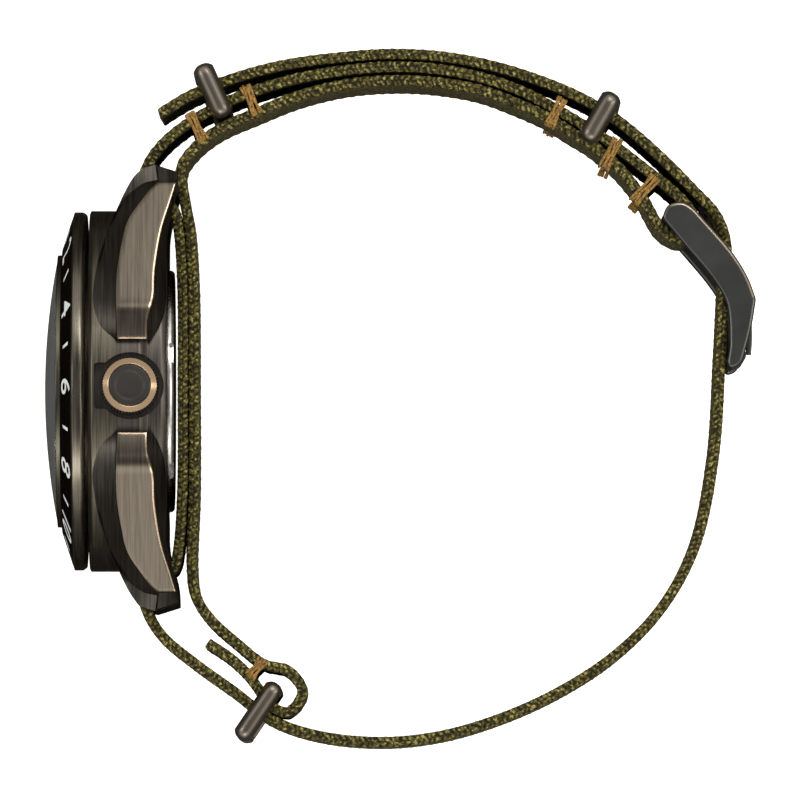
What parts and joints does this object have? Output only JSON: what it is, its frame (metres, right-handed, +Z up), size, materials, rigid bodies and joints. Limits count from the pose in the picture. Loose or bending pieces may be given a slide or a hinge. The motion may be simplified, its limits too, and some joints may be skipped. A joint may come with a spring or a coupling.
{
  "type": "wristwatch",
  "caption": "Sports wristwatch with a turning 24 hour bezel, lying on its flank, on a closed fabric strap with metal keepers and a pin buckle.",
  "frame": {"origin": "middle of the flat on the 9 o'clock flank of the case, straight under the crossing of the dial axis and the crown's axis", "axes": "+Z up along the crown's axis and out of the crown, -X out of the dial along the dial axis, +Y to 12 o'clock"},
  "size_m": [0.0833, 0.0815, 0.0464],
  "materials": {
    "case_metal": "brushed, black ion plated with polished bevels",
    "bezel_insert": "satin black with white numbers",
    "spring_steel": "satin",
    "crystal": "polished",
    "seal_rubber": "matte",
    "dial_black": "fine matte paint",
    "hand_paint": "satin",
    "gmt_paint": "satin",
    "steel": "fine brushed",
    "polished_steel": "polished",
    "movement_brass": "fine brushed",
    "strap_nylon": "woven, olive",
    "buckle_metal": "satin, black ion plated"
  },
  "bodies": {
    "watch": {"case_body": "case_metal", "bezel_click_ring": "spring_steel", "crystal": "crystal", "crystal_gasket": "seal_rubber", "chapter_ring": "dial_black", "dial": "dial_black", "mainplate": "movement_brass", "train_bridge": "steel", "balance_cock": "steel", "barrel_arbor": "steel", "mainspring": "spring_steel", "rotor_post": "steel", "movement_holder": "steel", "crown_tube": "steel", "back_cover": "polished_steel", "back_gasket": "seal_rubber", "spring_bar_12": "spring_steel", "spring_bar_6": "spring_steel", "strap_main": "strap_nylon", "strap_short": "strap_nylon", "keeper_top": "buckle_metal", "keeper_buckle": "buckle_metal", "keeper_bottom": "buckle_metal", "buckle_frame": "buckle_metal", "buckle_hinge_bar": "buckle_metal"},
    "bezel": {"bezel_ring": "case_metal", "bezel_insert": "bezel_insert"},
    "minute": {"minute_hand": "hand_paint", "cannon_pinion": "steel"},
    "minute_wheel": {"minute_wheel": "movement_brass"},
    "hour": {"hour_hand": "hand_paint", "hour_wheel": "movement_brass"},
    "gmt": {"gmt_hand": "gmt_paint", "gmt_wheel": "movement_brass"},
    "seconds": {"second_hand": "hand_paint", "fourth_wheel": "movement_brass"},
    "third_wheel": {"third_wheel": "movement_brass"},
    "center_wheel": {"center_wheel": "movement_brass"},
    "barrel": {"barrel": "movement_brass"},
    "escape_wheel": {"escape_wheel": "steel"},
    "pallet_fork": {"pallet_fork": "steel"},
    "balance": {"balance_wheel": "movement_brass"},
    "rotor": {"rotor": "steel"},
    "clutch": {"sliding_pinion": "steel"},
    "crown": {"crown": "case_metal", "winding_stem": "steel", "crown_gasket": "seal_rubber"},
    "tongue": {"buckle_tongue": "buckle_metal"}
  },
  "joints": [
    {"name": "bezel_turn", "type": "hinge", "parent": "watch", "child": "bezel", "pos_m": [0, 0, 0.022], "axis": [1, 0, 0], "continuous": true},
    {"name": "minute_turn", "type": "hinge", "parent": "watch", "child": "minute", "pos_m": [0, 0, 0.022], "axis": [1, 0, 0], "continuous": true},
    {"name": "minute_wheel_turn", "type": "hinge", "parent": "watch", "child": "minute_wheel", "pos_m": [0, 0.00294, 0.02447], "axis": [1, 0, 0], "continuous": true},
    {"name": "hour_turn", "type": "hinge", "parent": "watch", "child": "hour", "pos_m": [0, 0, 0.022], "axis": [1, 0, 0], "continuous": true},
    {"name": "gmt_turn", "type": "hinge", "parent": "watch", "child": "gmt", "pos_m": [0, 0, 0.022], "axis": [1, 0, 0], "continuous": true},
    {"name": "seconds_turn", "type": "hinge", "parent": "watch", "child": "seconds", "pos_m": [0, 0, 0.022], "axis": [1, 0, 0], "continuous": true},
    {"name": "third_wheel_turn", "type": "hinge", "parent": "watch", "child": "third_wheel", "pos_m": [0, 0.00594, 0.022], "axis": [1, 0, 0], "continuous": true},
    {"name": "center_wheel_turn", "type": "hinge", "parent": "watch", "child": "center_wheel", "pos_m": [0, 0, 0.022], "axis": [1, 0, 0], "continuous": true},
    {"name": "barrel_turn", "type": "hinge", "parent": "watch", "child": "barrel", "pos_m": [0, -0.00626, 0.02368], "axis": [1, 0, 0], "continuous": true},
    {"name": "escape_wheel_turn", "type": "hinge", "parent": "watch", "child": "escape_wheel", "pos_m": [0, 0, 0.01606], "axis": [1, 0, 0], "continuous": true},
    {"name": "pallet_fork_rock", "type": "hinge", "parent": "watch", "child": "pallet_fork", "pos_m": [0, -0.0029, 0.0155], "axis": [1, 0, 0], "range_deg": [-4, 4]},
    {"name": "balance_swing", "type": "hinge", "parent": "watch", "child": "balance", "pos_m": [0, -0.0052, 0.0148], "axis": [1, 0, 0], "range_deg": [-280, 280]},
    {"name": "rotor_spin", "type": "hinge", "parent": "watch", "child": "rotor", "pos_m": [0, 0, 0.022], "axis": [1, 0, 0], "continuous": true},
    {"name": "crown_turn", "type": "hinge", "parent": "watch", "child": "clutch", "pos_m": [0, 0, 0.022], "axis": [0, 0, 1], "continuous": true},
    {"name": "crown_pull", "type": "slide", "parent": "clutch", "child": "crown", "axis": [0, 0, 1], "range_m": [0, 0.0016]},
    {"name": "tongue_lift", "type": "hinge", "parent": "watch", "child": "tongue", "pos_m": [0.06375, 0.0197, 0.022], "axis": [0, 0, 1], "range_deg": [0, 8]}
  ],
  "couplings": [
    {"joint": "minute_wheel_turn", "follows": "minute_turn", "ratio": -0.33333},
    {"joint": "hour_turn", "follows": "minute_turn", "ratio": 0.083333},
    {"joint": "gmt_turn", "follows": "minute_turn", "ratio": 0.041667},
    {"joint": "third_wheel_turn", "follows": "seconds_turn", "ratio": -0.13333},
    {"joint": "center_wheel_turn", "follows": "seconds_turn", "ratio": 0.016667},
    {"joint": "barrel_turn", "follows": "seconds_turn", "ratio": -0.0027778},
    {"joint": "escape_wheel_turn", "follows": "seconds_turn", "ratio": -10}
  ]
}
